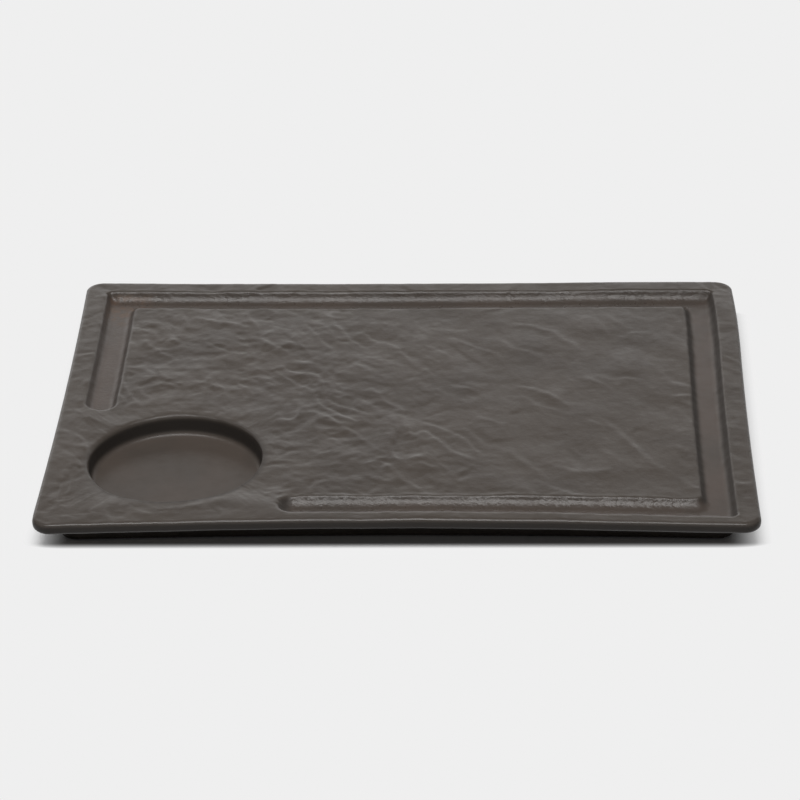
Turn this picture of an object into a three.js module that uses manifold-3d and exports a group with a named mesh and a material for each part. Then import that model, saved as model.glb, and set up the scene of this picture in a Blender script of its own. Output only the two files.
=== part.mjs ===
// Steak platter. One porcelain casting with a juice groove round three and a half sides, a round
// sauce well in the front left corner and a foot ring underneath, and four thin rubber feet that are
// let into the corners of the foot ring.
//
// Millimetres, +Z up. The table is Z = 0 and the origin lies under the middle of the platter.
// The front is -Y, and the sauce well is at its left end, -X.

import * as THREE from 'three';
import { mergeVertices } from 'three/addons/utils/BufferGeometryUtils.js';
import Module from 'manifold-3d';

const wasm = await Module();
wasm.setup();

// Overall form: a rectangle whose sides are drawn in between the corners, with a slightly arched top
const LENGTH = 330;
const DEPTH = 229;
const HEIGHT = 16.5;
const LONG_SIDE_BOW = 4.2;
const SHORT_SIDE_BOW = 1.6;
const TOP_ARCH = 1;
const CORNER_RADIUS = 8;

// Rim: the free edge and the flat border between the edge and the groove
const RIM_EDGE = 5.4;
const RIM_TOP_ROUND = 1.6;
const RIM_BOTTOM_ROUND = 1.8;
const LONG_RIM = 8;
const SHORT_RIM = 10.2;

// Field: it lies a little lower than the rim
const FIELD_DROP = 1.2;

// Juice groove: its two runs end short of the sauce well
const GROOVE_WIDTH = 16.6;
const GROOVE_DEPTH = 4.4;
const GROOVE_WALL = 4;
const GROOVE_OUTER_CORNER = 5;
const GROOVE_INNER_CORNER = 2;
const LEFT_RUN_GAP = 6.1;
const FRONT_RUN_GAP = 9.4;

// Sauce well
const WELL_RADIUS = 39.8;
const WELL_DEPTH = 9.8;
const WELL_LEAN = 2.4;
const WELL_LIP_ROUND = 1.5;
const WELL_FILLET = 2;
const WELL_APRON = 8;
const WELL_SIDE_MARGIN = 21.1;
const WELL_FRONT_MARGIN = 18;

// Porcelain thickness and the foot ring
const PLATE = 4.8;
const GROOVE_FLOOR = 4.4;
const WELL_WALL = 4.5;
const WELL_FLOOR = 4.2;
const FOOT_INSET = 11;
const FOOT_WIDTH = 6;
const FOOT_LEAN = 1.2;
const FOOT_ROUND = 0.8;
const UNDERSIDE_SLOPE = 4;

// Rubber feet: flat discs, and their seats in the foot ring
const DISC_DIAMETER = 10;
const DISC_THICKNESS = 1.6;
const SEAT_DEPTH = 1;
const SEAT_CLEARANCE = 0.3;
const SEAT_WALL = 2.7;
const DISC_EDGE = 0.5;
const SEAT_SETBACK = 0.5;

// How finely curves are stepped, the angle at which a rounded lip meets the top, and how far a cutter
// stands proud of the face that it cuts
const LONG_STEPS = 14;
const SHORT_STEPS = 4;
const CORNER_STEPS = 5;
const RUN_STEP = 24;
const END_STEPS = 4;
const WALL_STEPS = 5;
const LIP_STEPS = 3;
const LIP_STOP = 115;
const WELL_STEPS = 64;
const DISC_STEPS = 32;
const LIP_LIFT = 0.1;
const OVERCUT = 1;

// Values that follow from the sizes above
const HALF_LENGTH = LENGTH / 2;
const HALF_DEPTH = DEPTH / 2;
const FOOT_LAND = DISC_THICKNESS - SEAT_DEPTH;
const FOOT_CORNER = DISC_DIAMETER / 2 + SEAT_CLEARANCE + SEAT_WALL;
const WELL_X = WELL_SIDE_MARGIN + WELL_RADIUS - HALF_LENGTH;
const WELL_Y = WELL_FRONT_MARGIN + WELL_RADIUS - HALF_DEPTH;
const WELL_TOP = HEIGHT - archDrop(WELL_X) - FIELD_DROP;
const WELL_BASE = WELL_TOP - WELL_DEPTH;
const WELL_TILT = THREE.MathUtils.radToDeg(Math.atan2(WELL_LEAN, WELL_DEPTH));
const UNDER_GROOVE = HEIGHT - GROOVE_DEPTH - GROOVE_FLOOR;
const UNDER_FIELD = HEIGHT - FIELD_DROP - PLATE;
const DIP_START = SHORT_RIM + GROOVE_WALL;
const DIP_END = SHORT_RIM + GROOVE_WIDTH - GROOVE_WALL;

// How far the top has dropped below its middle at a distance x from the centre line
function archDrop(x) {
  return TOP_ARCH * (x / HALF_LENGTH) ** 2;
}

// How far the top has sunk from the rim to the field: a straight ramp, which the groove hides
function dip(x, y) {
  const inset = Math.min(HALF_LENGTH - Math.abs(x), HALF_DEPTH - Math.abs(y));
  return FIELD_DROP * THREE.MathUtils.clamp((inset - DIP_START) / (DIP_END - DIP_START), 0, 1);
}

// Carry a point of the straight-sided layout to its place: the sides are drawn in as parabolas, and
// a point that follows the top sinks with its arch and, less and less towards the level of the
// groove's floor, with the field
function place(x, y, z, follow) {
  const nearTop = Math.max(0, 1 - (HEIGHT - z) / GROOVE_DEPTH);
  const drawnX = x * (1 - (SHORT_SIDE_BOW / HALF_LENGTH) * (1 - (y / HALF_DEPTH) ** 2));
  const drawnY = y * (1 - (LONG_SIDE_BOW / HALF_DEPTH) * (1 - (x / HALF_LENGTH) ** 2));
  return new THREE.Vector3(drawnX, drawnY, z - follow * (archDrop(x) + nearTop * dip(x, y)));
}

// Evenly spaced values from a to b, both included
function spread(a, b, steps) {
  return Array.from({ length: steps + 1 }, (_, i) => a + ((b - a) * i) / steps);
}

// Points of an arc round a centre, from one angle to another in degrees
function arc(centre, radius, from, to, steps) {
  return spread(from, to, steps).map((degrees) => {
    const angle = THREE.MathUtils.degToRad(degrees);
    return [centre[0] + radius * Math.cos(angle), centre[1] + radius * Math.sin(angle)];
  });
}

// A skin grows from closed loops of points that are stitched to one another, then closed by caps
class Skin {
  constructor() {
    this.points = [];
    this.triangles = [];
  }

  addPoint(point) {
    this.points.push(point);
    return this.points.length - 1;
  }

  addLoop(points) {
    return points.map((point) => this.addPoint(point));
  }

  quad(a, b, c, d) {
    this.triangles.push([a, b, c], [a, c, d]);
  }

  // Join two loops that run counter-clockwise seen from above; the first one is passed first when
  // the surface is walked from the underside, round the edge and on to the top
  stitch(first, second) {
    first.forEach((corner, i) => {
      const next = (i + 1) % first.length;
      this.quad(corner, first[next], second[next], second[i]);
    });
  }

  fan(centre, rim) {
    rim.forEach((corner, i) => {
      this.triangles.push([centre, corner, rim[(i + 1) % rim.length]]);
    });
  }

  // Strips across a loop in which corner k lies opposite corner N - k, facing up (1) or down (-1)
  ladder(loop, from, to, facing) {
    const count = loop.length;
    for (let k = from; k < to; k += 1) {
      const strip = [loop[k], loop[k + 1], loop[count - k - 1], loop[(count - k) % count]];
      this.quad(...(facing > 0 ? strip : strip.reverse()));
    }
  }

  solid() {
    return solidOf(new Float32Array(this.points.flatMap((p) => p.toArray())), this.triangles.flat());
  }
}

// A closed set of triangles as a solid, without the triangles that have shrunk to a line
function solidOf(positions, corners) {
  const kept = [];
  for (let i = 0; i < corners.length; i += 3) {
    const [a, b, c] = corners.slice(i, i + 3);
    if (a !== b && b !== c && c !== a) kept.push(a, b, c);
  }
  const mesh = new wasm.Mesh({ numProp: 3, vertProperties: positions, triVerts: new Uint32Array(kept) });
  return new wasm.Manifold(mesh);
}

// A three.js geometry as a solid
function solidOfGeometry(geometry) {
  geometry.deleteAttribute('normal');
  geometry.deleteAttribute('uv');
  const merged = mergeVertices(geometry);
  return solidOf(new Float32Array(merged.attributes.position.array), Array.from(merged.index.array));
}

// A solid of revolution about a vertical axis, from a profile of [radius, height] that climbs from
// the axis back to the axis
function turned(profile, x, y, steps) {
  const points = profile.map(([radius, height]) => new THREE.Vector2(radius, height));
  const geometry = new THREE.LatheGeometry(points, steps);
  geometry.rotateX(Math.PI / 2);
  geometry.translate(x, y, 0);
  return solidOfGeometry(geometry);
}

// A solid back as a named mesh
function meshOf(name, solid, material) {
  const { vertProperties, triVerts } = solid.getMesh();
  const geometry = new THREE.BufferGeometry();
  geometry.setAttribute('position', new THREE.BufferAttribute(new Float32Array(vertProperties), 3));
  geometry.setIndex(new THREE.BufferAttribute(new Uint32Array(triVerts), 1));
  geometry.computeVertexNormals();
  const mesh = new THREE.Mesh(geometry, material);
  mesh.name = name;
  return mesh;
}

// The platter's outline drawn in by an inset, as [x, y] from the middle of the left side along the
// front to the middle of the right side and back along the rear
function outline(inset) {
  const a = HALF_LENGTH - inset;
  const b = HALF_DEPTH - inset;
  const radius = Math.max(CORNER_RADIUS - inset, FOOT_CORNER);
  const front = [
    ...spread(0, radius - b, SHORT_STEPS).slice(0, -1).map((y) => [-a, y]),
    ...arc([radius - a, radius - b], radius, 180, 270, CORNER_STEPS).slice(0, -1),
    ...spread(radius - a, a - radius, LONG_STEPS).slice(0, -1).map((x) => [x, -b]),
    ...arc([a - radius, radius - b], radius, 270, 360, CORNER_STEPS).slice(0, -1),
    ...spread(radius - b, 0, SHORT_STEPS).map((y) => [a, y]),
  ];
  const rear = front.slice(1, -1).reverse().map(([x, y]) => [x, -y]);
  return [...front, ...rear];
}

// The slab: rim, edge, foot ring and recessed underside, as loops of the outline that are carried
// along a profile from the middle of the underside, out round the edge and on to the top
function makeSlab() {
  const ledge = SHORT_RIM + GROOVE_WIDTH;
  const footInner = FOOT_INSET + FOOT_WIDTH;
  const underRim = HEIGHT - RIM_EDGE;
  const soften = 1 - Math.SQRT1_2;
  const profile = [
    [ledge + UNDERSIDE_SLOPE, UNDER_FIELD, 1],
    [ledge, UNDER_GROOVE, 1],
    [footInner + FOOT_LEAN, UNDER_GROOVE, 1],
    [footInner, FOOT_LAND + FOOT_ROUND, 0],
    [footInner - FOOT_ROUND, FOOT_LAND, 0],
    [FOOT_INSET + FOOT_ROUND, FOOT_LAND, 0],
    [FOOT_INSET, FOOT_LAND + FOOT_ROUND, 0],
    [FOOT_INSET - FOOT_LEAN, UNDER_GROOVE, 1],
    [RIM_BOTTOM_ROUND, underRim, 1],
    [RIM_BOTTOM_ROUND * soften, underRim + RIM_BOTTOM_ROUND * soften, 1],
    [0, underRim + RIM_BOTTOM_ROUND, 1],
    [0, HEIGHT - RIM_TOP_ROUND, 1],
    [RIM_TOP_ROUND * soften, HEIGHT - RIM_TOP_ROUND * soften, 1],
    [RIM_TOP_ROUND, HEIGHT, 1],
    [DIP_START, HEIGHT, 1],
    [DIP_END, HEIGHT, 1],
  ];
  const skin = new Skin();
  const loops = profile.map(([inset, z, follow]) => (
    skin.addLoop(outline(inset).map(([x, y]) => place(x, y, z, follow)))
  ));
  loops.slice(1).forEach((loop, i) => skin.stitch(loops[i], loop));
  closeSlab(skin, loops.at(-1), 1);
  closeSlab(skin, loops[0], -1);
  return skin.solid();
}

// Close a slab loop by strips between its long sides and a fan at each end
function closeSlab(skin, loop, facing) {
  const count = loop.length;
  const first = SHORT_STEPS + CORNER_STEPS;
  const last = first + LONG_STEPS;
  skin.ladder(loop, first, last, facing);
  const ends = [
    [...loop.slice(count - first), ...loop.slice(0, first + 1)],
    loop.slice(last, count - last + 1),
  ];
  for (const rim of ends) {
    const side = skin.points[rim[(rim.length - 1) / 2]];
    const rung = skin.points[rim[0]];
    const middle = new THREE.Vector3((side.x + rung.x) / 2, 0, (side.z + rung.z) / 2);
    skin.fan(skin.addPoint(middle), facing > 0 ? rim : rim.reverse());
  }
}

// The groove's route: for each station a point on the outer lip and a point on the inner lip, from
// the left run's end behind the well, round the rear and the right side, to the front run's end
function grooveStations() {
  const outerX = HALF_LENGTH - SHORT_RIM;
  const outerY = HALF_DEPTH - LONG_RIM;
  const innerX = outerX - GROOVE_WIDTH;
  const innerY = outerY - GROOVE_WIDTH;
  const bendX = innerX - GROOVE_INNER_CORNER;
  const bendY = innerY - GROOVE_INNER_CORNER;
  const leftEnd = WELL_Y + WELL_RADIUS + LEFT_RUN_GAP + GROOVE_WIDTH / 2;
  const frontEnd = WELL_X + WELL_RADIUS + FRONT_RUN_GAP + GROOVE_WIDTH / 2;
  const run = (from, to) => spread(from, to, Math.ceil(Math.abs(to - from) / RUN_STEP));
  const bend = (signX, signY, from) => {
    const lip = (x, y, radius) => {
      const centre = [signX * (x - radius), signY * (y - radius)];
      return arc(centre, radius, from, from - 90, CORNER_STEPS);
    };
    const inner = lip(innerX, innerY, GROOVE_INNER_CORNER);
    return lip(outerX, outerY, GROOVE_OUTER_CORNER).map((outer, i) => [outer, inner[i]]);
  };
  return [
    ...run(leftEnd, bendY).slice(0, -1).map((y) => [[-outerX, y], [-innerX, y]]),
    ...bend(-1, 1, 180),
    ...run(-bendX, bendX).slice(1, -1).map((x) => [[x, outerY], [x, innerY]]),
    ...bend(1, 1, 90),
    ...run(bendY, -bendY).slice(1, -1).map((y) => [[outerX, y], [innerX, y]]),
    ...bend(1, -1, 0),
    ...run(bendX, frontEnd).slice(1).map((x) => [[x, -outerY], [x, -innerY]]),
  ];
}

// A closed loop round the groove's route at a distance `reach` from its middle line, counter-clockwise
// from the tip of the left run, so that a point on the inner side lies opposite one on the outer side
function grooveLoop(stations, reach) {
  const share = reach / (GROOVE_WIDTH / 2);
  const between = (a, b, t) => [a[0] + (b[0] - a[0]) * t, a[1] + (b[1] - a[1]) * t];
  const inner = stations.map((lips) => between(lips[0], lips[1], (1 + share) / 2));
  const outer = stations.map((lips) => between(lips[0], lips[1], (1 - share) / 2));
  const tip = (lips, from) => (
    arc(between(lips[0], lips[1], 0.5), reach, from, from + 180, 2 * END_STEPS).slice(1, -1)
  );
  const start = tip(stations[0], 180);
  const end = tip(stations.at(-1), 90);
  return [
    ...start.slice(END_STEPS - 1),
    ...inner,
    ...end,
    ...outer.reverse(),
    ...start.slice(0, END_STEPS - 1),
  ];
}

// What the groove takes out: loops at rising heights, from the flat floor up a wall that hollows out
// of the floor and rolls over at the lip as one smooth wave
function makeGrooveCutter() {
  const stations = grooveStations();
  const wave = spread(1, 0, WALL_STEPS).slice(0, -1).map((t) => (
    [GROOVE_WIDTH / 2 - GROOVE_WALL * t, GROOVE_DEPTH * (0.5 - 0.5 * Math.cos(Math.PI * t))]
  ));
  const levels = [...wave, [GROOVE_WIDTH / 2, -LIP_LIFT], [GROOVE_WIDTH / 2, -OVERCUT]];
  const skin = new Skin();
  const loops = levels.map(([reach, depth]) => (
    skin.addLoop(grooveLoop(stations, reach).map(([x, y]) => place(x, y, HEIGHT - depth, 1)))
  ));
  loops.slice(1).forEach((loop, i) => skin.stitch(loops[i], loop));
  skin.ladder(loops.at(-1), 0, loops[0].length / 2, 1);
  skin.ladder(loops[0], 0, loops[0].length / 2, -1);
  return skin.solid();
}

// What the sauce well takes out: a flat floor, a fillet, a leaning wall and a rounded lip, and an apron
// that meets the rim where the top is higher than the lip
function makeWellCutter() {
  const foot = WELL_RADIUS - WELL_LEAN;
  const floorBend = [foot - WELL_FILLET, WELL_BASE + WELL_FILLET];
  const fillet = arc(floorBend, WELL_FILLET, 270, 360 - WELL_TILT, CORNER_STEPS);
  const lipBend = [WELL_RADIUS + WELL_LIP_ROUND, WELL_TOP - WELL_LIP_ROUND];
  const lip = arc(lipBend, WELL_LIP_ROUND, 180 - WELL_TILT, LIP_STOP, LIP_STEPS);
  const apron = WELL_RADIUS + WELL_LIP_ROUND + WELL_APRON;
  const rim = WELL_TOP + FIELD_DROP;
  const above = rim + OVERCUT;
  const profile = [[0, WELL_BASE], ...fillet, ...lip, [apron, rim], [apron, above], [0, above]];
  return turned(profile, WELL_X, WELL_Y, WELL_STEPS);
}

// The round swelling under the slab that keeps the porcelain thick enough round the sauce well
function makeWellSwelling() {
  const bottom = WELL_BASE - WELL_FLOOR;
  const foot = WELL_RADIUS - WELL_LEAN + WELL_WALL;
  const round = WELL_FLOOR / 2;
  const inside = WELL_TOP - PLATE / 2;
  const edge = arc([foot - round, bottom + round], round, 270, 360 - WELL_TILT, LIP_STEPS);
  const profile = [[0, bottom], ...edge, [WELL_RADIUS + WELL_WALL, inside], [0, inside]];
  return turned(profile, WELL_X, WELL_Y, WELL_STEPS);
}

// Where the four rubber feet go: in the corners of the foot ring, on the centres of its corner curves
function footPlaces() {
  const x = HALF_LENGTH - FOOT_INSET - FOOT_CORNER;
  const y = HALF_DEPTH - FOOT_INSET - FOOT_CORNER;
  return [
    { corner: 'front_left', at: place(-x, -y, 0, 0) },
    { corner: 'front_right', at: place(x, -y, 0, 0) },
    { corner: 'rear_left', at: place(-x, y, 0, 0) },
    { corner: 'rear_right', at: place(x, y, 0, 0) },
  ];
}

// A plain upright disc
function disc(at, radius, bottom, top) {
  return turned([[0, bottom], [radius, bottom], [radius, top], [0, top]], at.x, at.y, DISC_STEPS);
}

// A rubber foot: a flat disc with its lower edge broken
function makeFoot(at) {
  const radius = DISC_DIAMETER / 2;
  const top = DISC_THICKNESS;
  const profile = [[0, 0], [radius - DISC_EDGE, 0], [radius, DISC_EDGE], [radius, top], [0, top]];
  return turned(profile, at.x, at.y, DISC_STEPS);
}

// The casting: the slab with the swelling under the well and a seat for each rubber foot
function makePlatter() {
  let platter = makeSlab().add(makeWellSwelling());
  for (const { at } of footPlaces()) {
    platter = platter.add(disc(at, FOOT_CORNER - SEAT_SETBACK, FOOT_LAND, UNDER_FIELD));
  }
  platter = platter.subtract(makeGrooveCutter()).subtract(makeWellCutter());
  for (const { at } of footPlaces()) {
    const seat = disc(at, DISC_DIAMETER / 2 + SEAT_CLEARANCE, FOOT_LAND - OVERCUT, DISC_THICKNESS);
    platter = platter.subtract(seat);
  }
  return platter;
}

const glaze = new THREE.MeshStandardMaterial({ color: 0x45413e, roughness: 0.5, metalness: 0 });
const rubber = new THREE.MeshStandardMaterial({ color: 0x2b2b2d, roughness: 0.85, metalness: 0 });

const platter = new THREE.Group();
platter.add(meshOf('platter_body', makePlatter(), glaze));
for (const { corner, at } of footPlaces()) {
  platter.add(meshOf(`rubber_foot_${corner}`, makeFoot(at), rubber));
}

export default platter;
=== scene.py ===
"""Steak platter: a slate-look ceramic platter with a juice groove, a sauce well and rubber feet.

The shapes are worked out in millimetres and become metres when a mesh is made. X runs along the
platter, Y from its front to its rear and Z up from the table. The platter is laid out with straight
sides first, and is then drawn in along its sides and arched along its length.
"""
import math

import bpy
import numpy as np
from bpy.props import FloatProperty, FloatVectorProperty, IntProperty, PointerProperty
from bpy.types import Operator, Panel, PropertyGroup
from mathutils import Matrix, Vector


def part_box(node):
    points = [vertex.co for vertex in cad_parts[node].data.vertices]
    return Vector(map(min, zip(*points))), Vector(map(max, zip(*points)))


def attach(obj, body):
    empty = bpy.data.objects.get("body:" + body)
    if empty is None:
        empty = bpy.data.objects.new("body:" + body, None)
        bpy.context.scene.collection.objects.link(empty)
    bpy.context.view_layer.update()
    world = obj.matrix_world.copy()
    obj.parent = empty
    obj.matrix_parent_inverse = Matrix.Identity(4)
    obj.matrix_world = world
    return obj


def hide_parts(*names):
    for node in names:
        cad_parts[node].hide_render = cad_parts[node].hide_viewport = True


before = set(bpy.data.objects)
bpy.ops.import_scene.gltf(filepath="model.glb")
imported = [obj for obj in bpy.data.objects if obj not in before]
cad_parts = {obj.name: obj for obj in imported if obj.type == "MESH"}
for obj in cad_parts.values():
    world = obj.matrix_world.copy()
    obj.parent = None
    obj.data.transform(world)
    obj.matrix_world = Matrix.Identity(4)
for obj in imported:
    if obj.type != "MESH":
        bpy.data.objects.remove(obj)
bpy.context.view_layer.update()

bl_info = {
    "name": "Steak platter",
    "version": (1, 0, 0),
    "blender": (4, 5, 0),
    "location": "3D View > Sidebar > Platter",
    "description": "Builds a slate-look ceramic steak platter on its packed CAD frame",
    "category": "Add Mesh",
}

BODY_LOW, BODY_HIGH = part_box("platter_body")
FOOT_LOW, FOOT_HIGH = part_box("rubber_foot_front_right")
CORNERS = {"front_left": (-1, -1), "front_right": (1, -1), "rear_left": (-1, 1), "rear_right": (1, 1)}
MM = 0.001

# What each point of the casting carries for the glaze, from 0 to 1; the last is painted shade, a darker
# colour with a rougher glaze
FINISHES = ("recess", "wear", "bare", "split", "peel", "thin")

# The groove's walls: their angle, and how much steeper they stand on the long runs beside the field and
# beside the rim, and on the short runs
WALL_ANGLE = math.radians(44.0)
FIELD_WALL_STEEPER = math.radians(13.0)
RIM_WALL_STEEPER = math.radians(7.0)
SHORT_RUN_STEEPER = math.radians(11.0)

# The groove's lip wanders over short waves, and its runs meet in a mitre of this half width
LIP_WANDER = 0.25
LIP_WAVE = (7.0, 7.0)
MITRE = 4.0

# How sleek the glaze is along the groove's front run, its rear run and the middle of its short runs,
# and over what distance the front run's sheen ends at the field's right corner
FRONT_SHEEN = 0.74
REAR_SHEEN = 0.72
SHORT_SHEEN = 0.15
FIELD_CORNER = (-3.0, 5.0)

# How far inside the groove's lip the relief ends, the glaze pools and peels, the painted shade of the front
# run's left end sets in, and the painted shade with a rougher glaze on the short runs' walls sets in and
# ends
RELIEF_ENDS = (-0.8, 2.4)
POOL_STARTS = (0.0, 3.0)
PEEL_STARTS = (0.2, 1.0)
END_STARTS = (0.6, 2.0)
WALL_STARTS = (0.2, 0.8)
WALL_ENDS = (2.4, 4.4)

# How far the painted shade reaches round the front run's left end, the left run's share of the painted
# shade and rougher glaze on the short runs' walls, that of the painted shade on the platter's edge face,
# and over which part of the edge's rounding it sets in
END_REACH = (0.0, 4.0)
LEFT_RUN_SHADE = 0.4
EDGE_SHADE = 0.8
EDGE_SHADE_STARTS = (0.4, 0.8)

# Rubbed edges: the share, place and width of the rubbing on the platter's edge and on the groove's lips
EDGE_RUB = (0.7, 0.6, 1.1)
LIP_RUB = (0.08, 0.3, 0.9)

# Shares of the relief at the well's lip, at the platter's edge and on the rim, and the distances over
# which it comes back from the first two
WELL_RELIEF = 0.5
EDGE_RELIEF = 0.3
RIM_RELIEF = 0.75
WELL_RETURN = (0.0, 5.0)
EDGE_RETURN = (0.0, 4.0)

# The sauce well: the gap in the top round it, its oval, how far back it lies, the rounding of its lip on
# the crisp and on the soft side, the direction of the soft side, how much glaze pools on its floor, and
# the radius of the fan that closes it
WELL_MARGIN = 5.8
WELL_OVAL = (1.02, 0.975)
WELL_BACK = 0.75
CRISP_LIP = 0.25
SOFT_LIP = 1.6
SOFT_SIDE = math.radians(135.0)
WELL_POOL = 0.42
WELL_FAN = 2.0

# How far below the well's lip the relief, the warp and the painted shade with rougher glaze on the lip end,
# and the wall's painted shade with rougher glaze sets in and ends
WELL_RELIEF_ENDS = (0.0, 1.6)
WELL_WARP_ENDS = (0.0, 3.0)
WELL_LIP_ENDS = (0.5, 2.0)
WELL_WALL_STARTS = (1.0, 3.0)
WELL_WALL_ENDS = (7.0, 9.0)

# Between which distances from the edge the field sinks, how much later it does so in front of the well,
# and how far that reaches
DIP_CORNER = 30.0
DIP_RUN = (12.0, 26.0)
DIP_LATER = 4.5
BEFORE_WELL = (10.0, 30.0)
NEAR_WELL = (4.0, 24.0)

# Between which distances from the middle each move of the firing sets in
REAR_WARP_X = (60.0, 170.0)
REAR_WARP_Y = (45.0, 115.0)
FRONT_WARP_X = (140.0, 165.0)
FRONT_WARP_Y = (98.0, 114.0)
SINK_X = (90.0, 165.0)
SINK_Y = (40.0, 114.0)
BULGE_Y = (100.0, 112.0)

# The underside: how far the warp reaches in, where the swelling under the well rises and by how many
# plates, the width of its soft seam, the roundings of the foot ring and how far the bare clay reaches up
UNDER_WARP = 1.5
SWELLING_RUN = (-2.5, 8.5)
SWELLING_RISE = 2.5
SWELLING_SEAM = 2.4
FOOT_ROUNDING = (1.5, 0.8, 0.8, 1.5, 2.0)
BARE_RUN = (0.15, 0.5)

# The rubber feet's seats: how far the round of porcelain reaches up into the plate and stays inside the
# foot ring's corner, its play round the rubber, its roundings, the room that the underside leaves it,
# how bare its clay is, and the rounding of the rubber's upper edge
SEAT_ROOT = 1.5
SEAT_MARGIN = 0.5
SEAT_PLAY = 0.3
SEAT_ROUNDING = (0.5, 0.6, 0.25, 0.2)
SEAT_ROOM = 0.4
SEAT_RUN = (0.7, 2.0)
SEAT_BARE = 0.8
RUBBER_TOP_EDGE = 0.15

# Distances between the grid's lines: across the groove, along the left and the calmer right of the top,
# from front to rear, and underneath, under the well and elsewhere
GROOVE_STEP = 0.7
LEFT_STEP = 1.0
RIGHT_STEP = 1.35
DEPTH_STEP = 1.2
UNDER_WELL_STEP = 2.4
UNDER_STEP = 5.0
RIGHT_FROM = 40.0
GROOVE_MARGIN = 1.5
UNDER_WELL_MARGIN = 11.0

# The slate's grain, and the waves of its relief: along and across the grain for swells, flakes and
# scales, and along X and Y for the rest
GRAIN = math.radians(-52.0)
BEND_WAVE = (36.0, 36.0)
ROUGH_WAVE = (60.0, 60.0)
BROAD_SWELL = (80.0, 45.0)
LONG_SWELL = (50.0, 18.0)
ROUND_SWELL = (30.0, 24.0)
FLAKE_WAVE = (50.0, 24.0)
PATCH_WAVE = (30.0, 30.0)
SCALE_WAVE = (26.0, 10.0)
BREAK_WAVE = (18.0, 18.0)
LUMP_WAVE = (9.0, 8.0)
RIPPLE_WAVE = (9.0, 6.0)
WOBBLE_WAVE = (8.0, 8.0)

# How far the relief's lines bend and wobble, the steps from flake to flake and from scale to scale, and
# the widths of a split edge's gentle face and steep back
BEND = 5.0
WOBBLE = 0.9
FLAKE_STEP = 24.0
SCALE_STEP = 9.0
SPLIT_FACE = 6.0
SPLIT_BACK = 2.2

# Where the stone is rough: how far the border wanders and leans, how it fades to the right, and how
# rough the calm right and the right rim are
ROUGH_WANDER = 30.0
ROUGH_LEAN = 0.2
ROUGH_RUN = (-60.0, 40.0)
CALM_ROUGHNESS = 0.25
RIM_ROUGHNESS = 0.7
RIM_RUN = (-4.0, 2.0)

# Which heights of their noise show the flakes, scales, lumps and hollows, how much the flakes' lines
# bend, and the part of each step over which a scale breaks off
FLAKE_RUN = (-0.25, 0.4)
SCALE_RUN = (-0.2, 0.45)
LUMP_RUN = (0.1, 0.8)
HOLLOW_RUN = (0.25, 0.7)
FLAKE_BEND = 1.2
SCALE_DROP = 0.16

# The boldest split edges of the slate as bent lines: a share of the full height, then the points that
# the crest runs through
SPLIT_EDGES = (
    (0.9, (-108, 78), (-97, 73), (-83, 70), (-74, 62)),
    (0.9, (-86, 84), (-80, 77), (-76, 68), (-73, 58)),
    (1.0, (-73, 56), (-66, 48), (-58, 40)),
    (0.9, (-62, 53), (-53, 48), (-47, 37)),
    (0.9, (-42, 82), (-37, 71), (-30, 58), (-26, 47)),
    (0.7, (49, 69), (63, 67), (72, 61), (79, 52), (86, 43)),
    (0.6, (97, 83), (102, 74), (111, 63)),
    (0.5, (128, 59), (136, 51)),
    (0.9, (52, 9), (63, 6), (72, -1), (80, -10)),
    (0.8, (93, -20), (100, -29), (108, -44), (116, -58), (123, -69)),
    (0.5, (36, -18), (48, -27)),
    (1.0, (-46, -12), (-34, -21), (-23, -34), (-11, -49), (-10, -56)),
    (0.8, (-6, -62), (3, -76), (12, -86)),
    (0.7, (-11, -56), (-1, -58), (12, -56)),
    (0.7, (8, -58), (17, -67)),
    (0.9, (-17, 7), (-8, -6), (0, -13)),
    (0.7, (0, -16), (4, -33), (11, -41)),
    (0.7, (50, -49), (61, -64), (71, -79)),
    (0.5, (67, -59), (81, -69), (99, -67)),
    (0.5, (128, -44), (134, -53)),
    (0.5, (121, -82), (129, -88)),
    (0.4, (-4, 43), (13, 22)),
    (0.8, (-133, 64), (-128, 51), (-117, 39), (-109, 33)),
    (0.7, (-123, 31), (-119, 22), (-113, 16)),
    (0.5, (-68, -9), (-50, -27)),
    (0.5, (-62, -36), (-54, -73)),
    (1.1, (-99, -102), (-81, -94), (-66, -86)),
)

# Knobs and one hollow on the slate: x, y, radius and a share of the full height
KNOBS = (
    (-117, 53, 6, 1.0),
    (-60, 50, 6, 0.9),
    (-48, 29, 5, 0.8),
    (-24, -23, 7, 0.8),
    (32, 7, 8, 0.5),
    (-84, 36, 9, 0.7),
    (5, -36, 5, 0.6),
    (93, 68, 16, 1.2),
    (54, 46, 19, 1.3),
    (107, 31, 15, 0.6),
    (32, 15, 14, 0.9),
    (87, -54, 16, -1.1),
    (13, -60, 14, 0.7),
    (-10, 39, 13, 0.7),
)

# The iron stain in the groove, in metres
STAIN_PLACE = (-0.146, 0.094, 0.012)
STAIN_REACH = (0.003, 0.026)

# Noises of the glaze and the rubber: waves per metre, detail and roughness
CLOUDS = (24.0, 4.0, 0.6)
MOTTLE = (160.0, 3.0, 0.6)
STONE_GRAIN = (260.0, 4.0, 0.55)
PIMPLES = (560.0, 2.0, 0.5)
DUST = (300.0, 3.0, 0.5)
RUBBER_GRAIN = (2500.0, 2.0, 0.5)

# What a noise or a mark turns into, as the range it comes from and the range it goes to: the clouds'
# shade and the share of pooled glaze in them, less pooling where the glaze is sleek, the specks of the
# stain and of rubbed edges, and the dust and the roughness of the rubber
CLOUD_SHADE = (0.35, 0.65, 0.0, 1.0)
CLOUD_POOL = (0.35, 0.6, 0.15, 0.6)
SLEEK_POOL = (0.3, 1.0, 1.0, 0.3)
STAIN_SPECKS = (0.42, 0.6, 0.1, 1.0)
RUBBED_SPECKS = (0.35, 0.65, 0.15, 0.6)
DUST_SHARE = (0.45, 0.75, 0.0, 0.35)
RUBBER_ROUGHNESS = (0.3, 0.7, 0.7, 0.9)

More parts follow.
